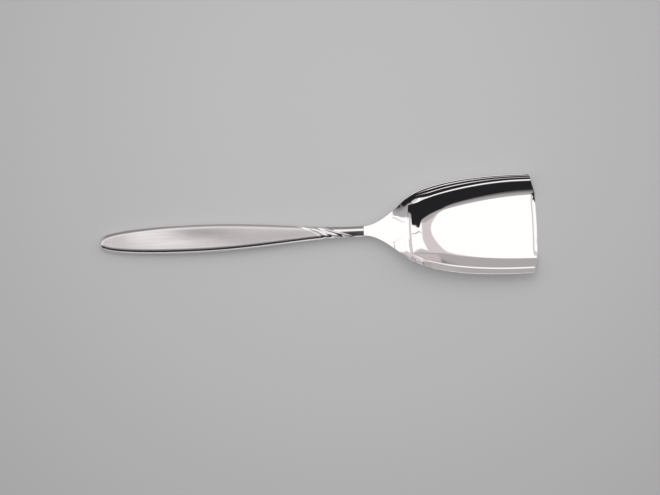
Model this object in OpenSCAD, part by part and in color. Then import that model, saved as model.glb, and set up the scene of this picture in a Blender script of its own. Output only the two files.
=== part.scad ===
// Sugar scoop: a pressed scoop on a tang, held in a hollow handle of two soldered half shells.
// X runs from the tail of the handle to the lip, Z is up, and the scoop lies on Z = 0.

/* [Handle] */
// Length of the handle, from its tail to its mouth
handle_length = 90.5; // [80:0.5:110]
// Width of the handle at its widest place
handle_width = 9.6; // [8:0.1:13]
// Distance of the widest place from the tail
handle_widest = 32; // [24:1:42]
// Height of the front shell above the seam at the widest place
front_height = 1.7; // [1.6:0.1:3]
// Height of the front shell above the seam at the tail
front_tail_height = 1.3; // [1.2:0.1:2]
// How far the face of the front shell domes across its width
face_crown = 0.3; // [0.1:0.05:0.4]
// Width of the bevel along the edges of the front shell
edge_bevel = 0.4; // [0.2:0.05:0.5]
// Width of the bevel along the left edge at the tail
tail_bevel = 1.1; // [0.4:0.05:1.1]
// Width of the bevel across the end of the tail
tip_bevel = 0.6; // [0.3:0.05:0.8]
// Radius of the round between the bevel and the face
edge_round = 2; // [1:0.1:2.2]
// Radius of that round along the left edge at the tail
tail_round = 0.6; // [0.3:0.05:0.8]
// Depth of the back shell under the seam at the widest place
back_depth = 2; // [1.6:0.1:3]
// Depth of the back shell under the seam at the tail
back_tail_depth = 0.8; // [0.6:0.1:1.2]
// Half width of the blunt end of the tail
tail_end = 0.5; // [0.3:0.1:1]
// Length at the tail that lies flat on the table
tail_rest = 10; // [4:1:20]
// Sheet that both half shells are pressed from
shell_wall = 0.5; // [0.4:0.05:0.6]
// Solid length of the tail, ahead of the hollow
tail_solid = 1.8; // [1.2:0.1:4]

/* [Neck] */
// Width of the neck, and of the mouth of the handle
neck_width = 3.7; // [3.4:0.1:5]
// Height of the front shell above the seam at the mouth
mouth_front = 1.7; // [1.5:0.1:2.2]
// Depth of the back shell under the seam at the mouth
mouth_back = 1.5; // [1.4:0.1:2]
// Length of the flared neck, from the mouth of the handle to the brink of the scoop
neck_length = 15.1; // [12:0.1:22]
// Thickness of the neck at the mouth of the handle
neck_thickness = 2.6; // [2:0.1:3]
// Step from the top of the handle down to the top of the neck
neck_step = 0.3; // [0.1:0.05:0.6]
// Width of the right facet of the front shell at the mouth
right_facet = 1.8; // [1.4:0.1:2.2]
// Width of the left bevel of the front shell at the mouth
left_facet = 0.5; // [0.3:0.05:0.7]
// Radius of the crest on the side of the right facet
right_round = 0.3; // [0.2:0.05:0.6]
// Radius of the crest on the side of the left bevel
left_round = 1.35; // [0.8:0.05:1.4]
// Radius of the dish that the neck bends into on its way to the rims
dish_radius = 11; // [8:0.5:16]

/* [Ridges] */
// Number of slanted ridges that cross the front of the neck
ridge_count = 3; // [1:1:4]
// Distance from one ridge to the next
ridge_pitch = 3.6; // [3:0.1:4.5]
// Width of a ridge along the handle
ridge_width = 3.4; // [2.4:0.1:4]
// Height of a ridge
ridge_height = 0.18; // [0.1:0.02:0.3]
// How far a ridge sweeps back on its way across the handle
ridge_sweep = 12; // [8:0.5:14]
// Notch that parts the ridge next to the face from the others
ridge_notch = 1.2; // [0:0.1:3]
// Distance of the last ridge from the mouth of the handle
ridge_clear = 4.1; // [4:0.1:8]

/* [Scoop] */
// Length of the scoop, from its brink to its lip
scoop_length = 44.4; // [36:0.1:56]
// Width of the scoop over its rims
scoop_width = 34.4; // [30:0.1:42]
// Height of the brink in the middle of the back wall
brink_height = 4.4; // [3.8:0.1:5.5]
// How far the side walls rise above the brink at the back
side_lift_back = 0.6; // [0:0.1:1.5]
// How far the side walls end below the brink at the lip
side_drop_lip = 0.3; // [0:0.1:0.8]
// Rise of the rim above the side walls
rim_rise = 1.1; // [0.6:0.1:2]
// Width of the rim outside the side walls
rim_width = 2.3; // [1.6:0.1:3]
// Width of the flat ledge at the foot of the rim
rim_ledge = 0.45; // [0.2:0.05:0.8]
// Thickness of the edge of the rim
rim_edge = 0.7; // [0.5:0.05:1]
// Sheet that the scoop is pressed from
scoop_sheet = 1.2; // [0.8:0.05:1.6]
// How far a side wall reaches over the floor at the back
wall_run = 6.2; // [5.5:0.1:7]
// How far a side wall reaches over the floor at the lip
lip_run = 5.3; // [4.5:0.1:7]
// Radius of the hollow between the floor and a side wall
wall_hollow = 5.5; // [3:0.1:6]
// How far the back wall reaches over the floor
back_run = 9.2; // [8:0.1:11]
// Radius of the hollow between the floor and the back wall
back_hollow = 11; // [6:0.1:11.5]
// Radius of the brink over the back wall
brink_radius = 2.4; // [1.8:0.1:3]
// Radius of the back corners of the floor
floor_corner = 7.5; // [3:0.5:9]
// How far the middle of the lip stands out beyond its ends
lip_bulge = 0.9; // [0:0.1:3]
// How far the ends of the rims stand behind the lip
lip_lean = 1.6; // [0.5:0.1:5]
// Length of the bevel that thins the lip
lip_bevel = 1.3; // [0.6:0.1:3]
// Radius of the front corners of the rims
rim_corner = 1.2; // [0.6:0.1:2]

/* [Tang] */
// Length of the tang inside the handle
tang_length = 36; // [20:1:50]
// Width of the tang at the mouth of the handle
tang_width = 1.9; // [1.4:0.05:2.2]
// Height of the tang at the mouth of the handle
tang_height = 1.5; // [1.1:0.05:1.6]
// Taper of the tang's width and height towards its end
tang_taper = 0.4; // [0.1:0.05:0.6]

/* [Joints] */
// Thickness of the solder in the seam and at the mouth
solder_gap = 0.1; // [0.05:0.01:0.2]
// Clearance of the filler in the shells and around the tang
filler_fit = 0.05; // [0.02:0.01:0.1]

/* [Hidden] */

// Places along X, measured from the tail
mouth_x = handle_length;
brink_x = mouth_x + neck_length;
floor_x = brink_x + back_run;
lip_x = brink_x + scoop_length;
straight_side = 4;
full_x = lip_x - straight_side;
narrow_x = floor_x + 5;
rim_x = brink_x - 1;
overall_length = lip_x;

// Half widths and the plan outline of the flared neck and the scoop, as two curves of four points
handle_half = handle_width / 2;
neck_half = neck_width / 2;
scoop_half = scoop_width / 2;
corner_inset = [2, 7.9];
corner = [brink_x, scoop_half] - corner_inset;
corner_way = [4.5, 4];
corner_stretch = 1.11;
flare_way = 4;
side_way = 27;
flare_curve = [[mouth_x, neck_half], [mouth_x + flare_way, neck_half], corner - corner_way, corner];
side_curve = [
    corner,
    corner + corner_stretch * corner_way,
    [full_x - side_way, scoop_half],
    [full_x, scoop_half]
];

// Shape of the handle: fullness of its ends, of its hollow and of its back
tail_power = 0.34;
height_power = 0.5;
waist_power = 1.15;
hollow_power = 2.6;
neck_hollow_power = 1.5;
back_power = 2.2;
neck_straight = 4.5;
waist_x = mouth_x - neck_straight;
keel_x = mouth_x - 24.5;
keel_length = 18;
facet_start = 1;
facet_blend = 2.5;
bevel_fade_length = 30;
bevel_slopes = [45, 42];
facet_slopes = [26, 42];
meet_soft = 0.06;
slant_step = 0.05;
slant_limit = 3;
ridge_fade = 0.8;
mouth_seam = brink_height + neck_step - mouth_front;
mouth_lift = mouth_seam - mouth_back;

// Walls of the scoop as [run, rise, hollow radius, brink radius]
depth = brink_height - scoop_sheet;
wall_brink = 0.35;
brink_corner = 0.05;
side_wall = [wall_run, depth, wall_hollow, wall_brink];
back_limit = (back_run * back_run + depth * depth) / (2 * depth) - brink_radius;
back_wall = [back_run, depth, min(back_hollow, back_limit), brink_radius];

// The dish of the neck: where it starts, how its start slants, how high it goes, and how it blends
// into the side walls
dish_start = 0.4;
dish_slant = 0.64;
dish_soft = 2;
dish_limit = 1.5;
dish_wall = 5.5;
dish_blend = 8;
lift_blend = 9;
rim_blend = 5;
rim_ease = 0.1;
thick_power = 4;

// Points of one half of a cross-section of the scoop, and the share of its brink that stays flat
flat_share = 0.35;
flat_level = 0.04;
floor_shares = [0, 0.34, 0.67, 1];
wall_shares = [0.05, 0.16, 0.32, 0.52, 0.72, 0.9, 1];
ledge_share = rim_ledge / rim_width;
rim_middle = 0.55;
rim_shares = [ledge_share, mix(ledge_share, 1, rim_middle), 1];
edge_share = 0.35;
search_steps = 24;

// The lip's bevel takes this share of the sheet on the floor and fades out up the walls, in points
bevel_depth = 0.8;
bevel_floor = len(floor_shares) - 1;
bevel_fade = 0.35 * len(wall_shares);

// Points of one cross-section of the handle, and places of its sections
arc_steps = 16;
side_steps = arc_steps / 2 - 1;
round_shares = [0, 0.3, 0.65, 1];
face_shares = [0.33, 0.67];
border_reach = 0.8;
tip_length = 7;
tip_count = 9;
tip_crowding = 2.2;
tip_places = [for (i = [0 : tip_count]) tip_length * pow(i / tip_count, tip_crowding)];
ridge_end = mouth_x - ridge_clear;
ridge_bow = 0.9;
ridge_slack = 0.1;
ridge_start = ridge_line(ridge_count - 1, 1) - ridge_width / 2;
ridge_stop = ridge_end + ridge_width / 2;
ridge_step = 0.5;
plain_step = 2.2;
pocket_step = 3;
joint_x = mouth_x - solder_gap;
filler_x = tail_solid + 1;
plain_places = concat(tip_places, spread(tip_length, joint_x, plain_step));
ridge_places = concat(
    tip_places, spread(tip_length, ridge_start, plain_step), spread(ridge_start, ridge_stop, ridge_step),
    spread(ridge_stop, joint_x, plain_step));

// Plain helpers
function mix(a, b, share) = a + (b - a) * share;
function clamp(t) = max(0, min(1, t));
function smooth(t) = let (c = clamp(t)) c * c * (3 - 2 * c);
function spread(from, to, step) =
    let (n = max(1, ceil((to - from) / step))) [for (i = [1 : n]) mix(from, to, i / n)];
function reversed(list) = [for (i = [len(list) - 1 : -1 : 0]) list[i]];
function bezier(p, t) =
    pow(1 - t, 3) * p[0] + 3 * t * pow(1 - t, 2) * p[1] + 3 * t * t * (1 - t) * p[2] + pow(t, 3) * p[3];
function bezier_way(p, t) =
    pow(1 - t, 2) * (p[1] - p[0]) + 2 * t * (1 - t) * (p[2] - p[1]) + t * t * (p[3] - p[2]);

// Half width, front height, back depth and seam height of the handle at a distance from its tail
function tail_share(x) = max(0, 1 - pow((handle_widest - x) / handle_widest, 2));
function waist_share(x) = smooth(pow(max(0, (x - handle_widest) / (waist_x - handle_widest)), waist_power));
function handle_size(x, tail, widest, mouth, power) =
    x < handle_widest
        ? mix(tail, widest, pow(tail_share(x), power))
        : mix(widest, mouth, waist_share(x));
function half_at(x) = handle_size(x, tail_end, handle_half, neck_half, tail_power);
function front_at(x) = handle_size(x, front_tail_height, front_height, mouth_front, height_power);
function back_at(x) = handle_size(x, back_tail_depth, back_depth, mouth_back, height_power);
function lift_at(x) = mouth_lift * smooth((x - tail_rest) / (mouth_x - tail_rest));
function seam_at(x) = back_at(x) + lift_at(x);
function keel_share(x) = smooth((x - keel_x) / keel_length);

// Height that the slanted ridges add to the front shell, the ridge next to the face being bowed
function is_first(k) = k == ridge_count - 1;
function ridge_line(k, t) =
    ridge_end - k * ridge_pitch - (is_first(k) ? ridge_notch : 0)
    - ridge_sweep * mix(t, 1 - sqrt(1 - t * t), is_first(k) ? ridge_bow : ridge_slack);
function ridge_bump(t) = abs(t) < 1 ? pow(cos(90 * t), 2) : 0;
function way_across(x, y) = clamp((y / half_at(x) + 1) / 2);
function ridge_at(x, y) =
    ridge_height * max([for (k = [0 : ridge_count - 1])
        ridge_bump((x - ridge_line(k, way_across(x, y))) / (ridge_width / 2))]);

// Borders of the front shell: a bevel and a round, which turn into facets ahead of the last ridge.
// The bevel's own slope goes on along the very edge. Side 0 is the right edge, side 1 the left edge.
function facet_share(x, y) = smooth((x - ridge_line(0, way_across(x, y)) + facet_start) / facet_blend);
function tail_bevel_at(x) = mix(tail_bevel, edge_bevel, smooth(x / bevel_fade_length));
function bevel_at(x, side, facet) =
    mix(side == 1 ? tail_bevel_at(x) : edge_bevel, [right_facet, left_facet][side], facet);
function slope_at(side, facet) = mix(bevel_slopes[side], facet_slopes[side], facet);
function tail_round_at(x) = mix(tail_round, edge_round, smooth(x / bevel_fade_length));
function round_at(x, side, facet) =
    mix(side == 1 ? tail_round_at(x) : edge_round, [right_round, left_round][side], facet);
function slant_at(x) =
    let (rise = half_at(x + slant_step) - half_at(max(0, x - slant_step)))
    min(slant_limit, norm([1, rise / (2 * slant_step)]));
function drop(inset, bevel, slope, radius) =
    let (left = radius * sin(slope) - max(0, inset - bevel))
    max(0, bevel - inset) * tan(slope) + (left > 0 ? radius - sqrt(radius * radius - left * left) : 0);
function edge_drop(inset, side, facet) =
    facet * max(0, edge_bevel - inset) * max(0, tan(bevel_slopes[side]) - tan(facet_slopes[side]));
function side_drop(x, inset, side, facet) =
    drop(inset, bevel_at(x, side, facet), slope_at(side, facet), round_at(x, side, facet))
    + edge_drop(inset, side, facet);
function lower_of(a, b) = (a + b + norm([a - b, meet_soft])) / 2;
function front_z(x, y) =
    let (
        half = half_at(x), facet = facet_share(x, y), slant = slant_at(x),
        right = (half + y) / slant, left = (half - y) / slant,
        sides = lower_of(side_drop(x, right, 0, facet), side_drop(x, left, 1, facet)),
        low = lower_of(sides, drop(x, tip_bevel, bevel_slopes[0], tail_round)),
        crown = face_crown * (1 - facet) * pow(y / handle_half, 2))
    front_at(x) - crown - low + ridge_at(x, y) * sqrt(clamp(min(right, left) / ridge_fade));

// Distances from an edge at which a section of the front shell has its points
function border_insets(x, side) =
    let (
        half = half_at(x), bevel = bevel_at(x, side, 0), run = round_at(x, side, 0) * sin(slope_at(side, 0)),
        scale = min(slant_at(x), border_reach * half / (bevel + run)),
        border = concat([0], [for (t = round_shares) scale * (bevel + t * run)]),
        plain = concat(border, [for (t = face_shares) mix(scale * (bevel + run), half, t)]))
    [for (i = [0 : side_steps - 1]) mix(plain[i], half * i / side_steps, keel_share(x))];

// One arc over the handle from -Y to +Y, as [y, z] above the seam, and the same arc in place
function oval(half, height, power) =
    [for (i = [0 : arc_steps])
        let (a = 180 * i / arc_steps, c = cos(a))
        [-half * sign(c) * pow(abs(c), 2 / power), height * pow(max(0, sin(a)), 2 / power)]];
function front_arc(x) =
    let (
        half = half_at(x), base = seam_at(x) + solder_gap / 2,
        places = concat(
            [for (d = border_insets(x, 0)) d - half], [0],
            reversed([for (d = border_insets(x, 1)) half - d])))
    concat([[x, -half, base]], [for (y = places) [x, y, base + front_z(x, y)]], [[x, half, base]]);
function back_arc(x) =
    [for (p = oval(half_at(x), back_at(x) - solder_gap / 2, back_power))
        [x, p[0], seam_at(x) - solder_gap / 2 - p[1]]];

// The hollow inside the shells, shrunk all round by an inset
function hollow_share(x) = sqrt(clamp((x - tail_solid) / tail_solid));
function hollow_power_at(x) = mix(hollow_power, neck_hollow_power, keel_share(x));
function hollow_half(x, inset) = max(half_at(x) / 2, half_at(x) - shell_wall) - inset;
function hollow_rise(x, inset) = (front_at(x) - shell_wall - inset) * hollow_share(x);
function hollow_front(x, inset) =
    [for (p = oval(hollow_half(x, inset), hollow_rise(x, inset), hollow_power_at(x)))
        [x, p[0], seam_at(x) + solder_gap / 2 + p[1]]];
function hollow_back(x, inset) =
    [for (p = oval(hollow_half(x, inset), (back_at(x) - shell_wall - inset) * hollow_share(x), back_power))
        [x, p[0], seam_at(x) - solder_gap / 2 - p[1]]];
function hollow_ring(x, inset) = concat(hollow_front(x, inset), reversed(hollow_back(x, inset)));

// The tang at a distance from the tail, grown all round by a clearance
function tang_share(x) = (mouth_x - x) / tang_length;
function tang_half(x, grow) = (tang_width - tang_taper * tang_share(x)) / 2 + grow;
function tang_rise(x, grow) = (tang_height - tang_taper * tang_share(x)) / 2 + grow;
function tang_arc(x, grow, steps, way) =
    [for (i = [0 : steps])
        let (a = 180 * i / steps)
        [x, -tang_half(x, grow) * cos(a), seam_at(x) + way * (tang_rise(x, grow) * sin(a) + solder_gap / 2)]];
function tang_ring(x, grow, steps) =
    concat(tang_arc(x, grow, steps, 1), reversed(tang_arc(x, grow, steps, -1)));

// A wall's straight flank, its height at a run from the floor, and its run at a height, all of them
// for a face that lies at a depth under the upper face
function wall_radii(w) = w[2] + w[3];
function flank_length(w) = sqrt(max(0, w[0] * w[0] + w[1] * w[1] - 2 * wall_radii(w) * w[1]));
function flank_slope(w) = atan2(w[1] - wall_radii(w), w[0]) + atan2(wall_radii(w), flank_length(w));
function wall_height(w, x, d) =
    let (
        slope = flank_slope(w), hollow = w[2] + d, brink = w[3] - d,
        from = hollow * sin(slope), to = w[0] - brink * sin(slope))
    x <= 0 ? -d
    : x < from ? w[2] - sqrt(hollow * hollow - x * x)
    : x < to ? w[2] - hollow * cos(slope) + (x - from) * tan(slope)
    : x < w[0] ? w[1] - w[3] + sqrt(brink * brink - pow(w[0] - x, 2))
    : w[1] - d;
function wall_run_at(w, z, d) =
    let (
        slope = flank_slope(w), hollow = w[2] + d, brink = w[3] - d,
        from = w[2] - hollow * cos(slope), to = w[1] - w[3] + brink * cos(slope))
    z < from ? sqrt(max(0, hollow * hollow - pow(w[2] - z, 2)))
    : z < to || brink <= 0 ? hollow * sin(slope) + (z - from) / tan(slope)
    : w[0] - sqrt(brink * brink - pow(min(brink, z - w[1] + w[3]), 2));

// Half width of the hollow at a height, and its height at a half width, found by halving steps
function level_half(x, b, z, d) =
    let (
        corner = mix(floor_corner, brink_corner, clamp((z + d) / depth)),
        level_x = floor_x - wall_run_at(back_wall, min(z, depth - d), d),
        close = 1 - clamp((x - level_x) / corner),
        narrow = mix(1, lip_run / wall_run, clamp((x - narrow_x) / (lip_x - narrow_x))))
    max(0, b - narrow * (wall_run - wall_run_at(side_wall, z, d))) * sqrt(1 - close * close);
function found_height(x, b, y, d, low, high, steps) =
    let (z = (low + high) / 2)
    steps == 0 ? low
    : level_half(x, b, z, d) < y ? found_height(x, b, y, d, z, high, steps - 1)
    : found_height(x, b, y, d, low, z, steps - 1);
function hollow_height(x, b, y, d) =
    let (low = wall_height(back_wall, floor_x - x, d))
    x <= brink_x ? low : found_height(x, b, y, d, low, depth, search_steps);

// The dish of the neck, which passes into the rise of the side walls
function dish_edge(x, b) =
    let (behind = brink_x - x)
    mix(dish_start + dish_slant * (behind + norm([behind, dish_soft])) / 2, b - dish_wall,
        smooth((x - brink_x) / dish_blend));
function side_lift(x, b) =
    let (
        dished = pow(max(0, b - dish_edge(x, b)), 2) / (2 * dish_radius),
        side = mix(side_lift_back, -side_drop_lip, clamp((x - brink_x) / scoop_length)))
    mix(dish_limit * (1 - exp(-dished / dish_limit)), side, smooth((x - brink_x) / lift_blend));
function dish(x, b, y) =
    let (start = dish_edge(x, b))
    y <= start || start >= b ? 0 : side_lift(x, b) * pow((y - start) / (b - start), 2);
function extra_thickness(x) =
    (neck_thickness - scoop_sheet) * (1 - smooth((x - mouth_x) / (brink_x - mouth_x)));

// Stations of the scoop: place, half width over the rims, and the width factor of the slanting outline
function station(curve, t) =
    let (p = bezier(curve, t), way = bezier_way(curve, t)) [p[0], p[1], norm(way) / way[0]];
flare_count = 12;
side_count = 26;
lip_step = 1.3;
stations = concat(
    [for (i = [0 : flare_count - 1]) station(flare_curve, i / flare_count)],
    [for (i = [0 : side_count - 1]) station(side_curve, i / side_count)],
    [for (x = concat([full_x], spread(full_x, lip_x - lip_bevel, lip_step), [lip_x])) [x, scoop_half, 1]]);

// Half widths of a cross-section's points between its middle and its brink
function brink_half(s) = s[1] - min(rim_width * s[2], s[1] / 2);
function flat_half(s) =
    let (b = brink_half(s))
    s[0] > brink_x ? max(flat_share * b, level_half(s[0], b, flat_level * depth, 0)) : flat_share * b;
function wall_half(s, t) =
    let (b = brink_half(s), flat = flat_half(s))
    s[0] > brink_x && t < 1
        ? min(b, level_half(s[0], b, mix(hollow_height(s[0], b, flat, 0), depth, t), 0))
        : mix(flat, b, t);
function widths(s) =
    concat([for (t = floor_shares) t * flat_half(s)], [for (t = wall_shares) wall_half(s, t)]);

// Height of the rim over the brink at a share of its width: a ledge, then a ramp with eased ends
function eased(t) =
    let (steep = 1 / (1 - rim_ease))
    t < rim_ease ? steep * t * t / (2 * rim_ease)
    : t > 1 - rim_ease ? 1 - steep * pow(1 - t, 2) / (2 * rim_ease)
    : steep * (t - rim_ease / 2);
function rim_top(s, t) =
    let (
        b = brink_half(s),
        dished = max(0, dish(s[0], b, mix(b, s[1], t)) - side_lift(s[0], b)),
        ramp = rim_rise * eased(clamp((t - ledge_share) / (1 - ledge_share))))
    mix(dished, ramp, smooth((s[0] - rim_x) / rim_blend));

// Half of a cross-section of the scoop, from its middle to its rim, as [y, z]: upper face, then under face
function upper_half(s) =
    let (b = brink_half(s), inner = s[1] - rim_edge / 2, top = brink_height + side_lift(s[0], b))
    concat(
        [for (y = widths(s)) [y, scoop_sheet + hollow_height(s[0], b, y, 0) + dish(s[0], b, y)]],
        [for (t = rim_shares) [mix(b, inner, t), top + rim_top(s, t)]],
        [[s[1], top + rim_top(s, 1) - edge_share * rim_edge]]);
function thick_share(s, y) = extra_thickness(s[0]) * (1 - pow(y / s[1], thick_power));
function under_half(s) =
    let (
        b = brink_half(s), inner = s[1] - rim_edge / 2,
        foot = brink_height + side_lift(s[0], b) + rim_top(s, 1) - rim_edge,
        wall = [for (y = widths(s)) scoop_sheet + hollow_height(s[0], b, y, scoop_sheet) + dish(s[0], b, y)],
        bend = wall[len(wall) - 1],
        line = concat(
            [for (i = [0 : len(wall) - 1]) [widths(s)[i], wall[i]]],
            [for (t = rim_shares) [mix(b, inner, t), mix(bend, foot, t)]],
            [[s[1], foot + edge_share * rim_edge]]))
    [for (p = line) [p[0], p[1] - thick_share(s, p[0])]];

// A half line in place and mirrored, drawn forward so that it ends on the curved and leaning lip
function corner_cut(y) =
    rim_corner * (1 - sqrt(1 - pow(clamp((y - scoop_half) / rim_corner + 1), 2)));
function lean_at(z) = lip_lean * max(0, z - scoop_sheet) / brink_height;
function lip_at(y, z) = lip_x - lip_bulge * pow(y / scoop_half, 2) - lean_at(z) - corner_cut(y);
function drawn(x, y, z) =
    x < floor_x ? x : floor_x + (x - floor_x) * (lip_at(y, z) - floor_x) / (lip_x - floor_x);
function across(x, half) =
    concat(
        [for (i = [len(half) - 1 : -1 : 1]) [drawn(x, half[i][0], half[i][1]), -half[i][0], half[i][1]]],
        [for (p = half) [drawn(x, p[0], p[1]), p[0], p[1]]]);
function bevel_share(x, i) =
    bevel_depth * clamp((x - lip_x) / lip_bevel + 1) * (1 - smooth((i - bevel_floor) / bevel_fade));
function scoop_ring(s) =
    let (
        under = under_half(s), above = upper_half(s),
        thinned = [for (i = [0 : len(above) - 1]) mix(above[i], under[i], bevel_share(s[0], i))])
    concat(across(s[0], thinned), reversed(across(s[0], under)));

// Solid through rings of equal point counts, each an upper line followed by a lower line backwards
module loft(rings) {
    n = len(rings[0]);
    last = len(rings) - 1;
    sides = [for (i = [0 : last - 1]) for (j = [0 : n - 1])
        let (a = i * n + j, b = i * n + (j + 1) % n)
        each [[a, a + n, b + n], [a, b + n, b]]];
    start = [for (j = [0 : n / 2 - 2])
        each j < n / 4 - 1
            ? [[j, j + 1, n - 1 - j], [j + 1, n - 2 - j, n - 1 - j]]
            : [[j, j + 1, n - 2 - j], [j, n - 2 - j, n - 1 - j]]];
    finish = [for (f = start) [for (v = reversed(f)) v + last * n]];
    polyhedron([for (ring = rings) each ring], concat(sides, start, finish));
}

// Solid through rings that close into a loop, the last ring meeting the first
module closed_band(rings) {
    n = len(rings[0]);
    m = len(rings);
    sides = [for (i = [0 : m - 1]) for (j = [0 : n - 1])
        let (a = i * n, b = (i + 1) % m * n, k = (j + 1) % n)
        each [[a + j, b + j, b + k], [a + j, b + k, a + k]]];
    polyhedron([for (ring = rings) each ring], sides);
}

// The tang has as many points round it as a cross-section of the scoop
tang_steps = 2 * (len(floor_shares) + len(wall_shares) + len(rim_shares) + 1) - 2;
tang_step = 6;

// The scoop, its flared neck and its tang, pressed and forged as one piece
module scoop_bowl() {
    tang_places = reversed(spread(mouth_x, mouth_x - tang_length, tang_step));
    tang_rings = [for (x = concat(tang_places, [mouth_x])) tang_ring(x, 0, tang_steps)];
    color([0.80, 0.80, 0.81])
        loft(concat(tang_rings, [for (s = stations) scoop_ring(s)]));
}

// The front half of the hollow handle, with the ridges across its neck
module handle_front_shell() {
    color([0.76, 0.74, 0.74])
        loft([for (x = ridge_places) concat(front_arc(x), reversed(hollow_front(x, 0)))]);
}

// The plain back half of the hollow handle
module handle_back_shell() {
    color([0.74, 0.72, 0.72])
        loft([for (x = reversed(plain_places)) concat(back_arc(x), reversed(hollow_back(x, 0)))]);
}

// The cement that fills the hollow and grips the tang, with the tang's pocket in it
module handle_filler() {
    pocket_x = mouth_x - tang_length - filler_fit;
    pocket_places = spread(pocket_x, joint_x, pocket_step);
    filler_places = reversed(concat(
        [for (x = tip_places) if (x > filler_x) x], spread(tip_length, joint_x, 2 * plain_step)));
    color([0.45, 0.40, 0.34])
        loft(concat(
            [tang_ring(pocket_x, filler_fit, arc_steps)],
            [for (x = pocket_places) tang_ring(x, filler_fit, arc_steps)],
            [for (x = filler_places) hollow_ring(x, filler_fit)]));
}

// The solder that joins the two half shells all along their edges
module seam_solder() {
    band = shell_wall - 2 * filler_fit;
    edge = concat(
        [for (x = reversed(plain_places)) [x, -half_at(x)]],
        [for (x = plain_places) [x, half_at(x)]]);
    last = len(edge) - 1;
    color([0.70, 0.69, 0.66])
        loft([for (i = [0 : last])
            let (
                p = edge[i], way = edge[min(last, i + 1)] - edge[max(0, i - 1)],
                q = p + band * [way[1], -way[0]] / norm(way),
                z0 = seam_at(p[0]) - solder_gap / 2, z1 = z0 + solder_gap)
            [[p[0], p[1], z1], [q[0], q[1], z1], [q[0], q[1], z0], [p[0], p[1], z0]]]);
}

// The solder between the mouth of the handle and the shoulder of the neck
module neck_solder() {
    inset = 1 - filler_fit / neck_half;
    inner = tang_ring(mouth_x, 2 * filler_fit, tang_steps);
    outer = [for (p = scoop_ring(stations[0])) [p[0], inset * p[1], mix(mouth_seam, p[2], inset)]];
    color([0.70, 0.69, 0.66])
        closed_band([
            [for (p = outer) [joint_x, p[1], p[2]]], [for (p = outer) [mouth_x, p[1], p[2]]],
            [for (p = inner) [mouth_x, p[1], p[2]]], [for (p = inner) [joint_x, p[1], p[2]]]]);
}

// Centres the scoop over the middle of its length
module placed() {
    translate([-overall_length / 2, 0, 0]) children();
}

placed() scoop_bowl();
placed() handle_front_shell();
placed() handle_back_shell();
placed() handle_filler();
placed() seam_solder();
placed() neck_solder();
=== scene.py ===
"""Sugar scoop: a mirror-polished scoop on a satin hollow handle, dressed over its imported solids.

Sizes are in millimetres, and places along the scoop are distances from the tail of its handle.
The near side is -Y, at the bottom of the picture, and the far side is +Y.
"""
import logging
import math
from dataclasses import dataclass, field, replace
from enum import Enum
from typing import Any, Sequence

import bpy
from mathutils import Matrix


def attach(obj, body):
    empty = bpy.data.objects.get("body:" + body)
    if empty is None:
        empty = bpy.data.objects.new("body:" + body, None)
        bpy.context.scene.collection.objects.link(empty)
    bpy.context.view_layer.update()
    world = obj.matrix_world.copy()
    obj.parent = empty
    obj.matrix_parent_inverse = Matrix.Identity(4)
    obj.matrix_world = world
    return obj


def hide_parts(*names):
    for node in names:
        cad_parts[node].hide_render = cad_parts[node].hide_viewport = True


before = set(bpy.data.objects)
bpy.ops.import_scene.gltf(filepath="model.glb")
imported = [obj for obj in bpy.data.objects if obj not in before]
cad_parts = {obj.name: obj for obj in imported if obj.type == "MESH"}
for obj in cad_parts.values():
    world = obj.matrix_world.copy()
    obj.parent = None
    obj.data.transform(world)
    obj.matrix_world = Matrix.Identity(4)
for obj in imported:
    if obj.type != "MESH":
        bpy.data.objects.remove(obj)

LOG = logging.getLogger("sugar_scoop")
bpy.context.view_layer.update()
MM = 0.001
CENTRE_X = 75.0  # the frame's origin, as a distance from the tail
MERGE_MM = 0.0008  # points of a skin that lie closer than this become one
THIN_MM = 0.01  # least half width of the handle where a share of it is taken
HALVINGS = 28  # rounds in which a height is narrowed down
WHITE = "#FFFFFF"
BLACK = "#000000"
DARK = "#262628"

Pair = tuple[float, float]
Sizes = tuple[float, float, float]
Point = tuple[float, float, float]
Ring = list[Point]


class Node(Enum):
    """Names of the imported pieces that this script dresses."""

    BOWL = "scoop_bowl"
    FRONT = "handle_front_shell"
    BACK = "handle_back_shell"
    FILLER = "handle_filler"
    SEAM = "seam_solder"
    NECK = "neck_solder"


class Slot(Enum):
    """Names of the record's material slots."""

    MIRROR = "mirror_steel"
    SATIN = "satin_steel"


def mix(a: float, b: float, share: float) -> float:
    """Go from a to b by a share."""
    return a + (b - a) * share


def clamp(value: float) -> float:
    """Keep a share between 0 and 1."""
    return max(0.0, min(1.0, value))


def smooth(share: float) -> float:
    """Ease a share in and out between 0 and 1."""
    c = clamp(share)
    return c * c * (3 - 2 * c)


def spread(start: float, end: float, step: float) -> list[float]:
    """Even places after start up to end, no more than a step apart."""
    count = max(1, math.ceil((end - start) / step))
    return [mix(start, end, i / count) for i in range(1, count + 1)]


def shares(count: int) -> list[float]:
    """Even shares from 0 to 1 with both ends."""
    return [i / (count - 1) for i in range(count)]


def bezier(points: Sequence[Pair], t: float) -> Pair:
    """Find a point on a curve of four points.

    Args:
        points: Start, two points that pull the curve, and end.
        t: Share of the way along the curve.

    Returns:
        The point.
    """
    weights = ((1 - t) ** 3, 3 * t * (1 - t) ** 2, 3 * t * t * (1 - t), t ** 3)
    x, y = (sum(w * p[k] for w, p in zip(weights, points)) for k in (0, 1))
    return x, y


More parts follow.
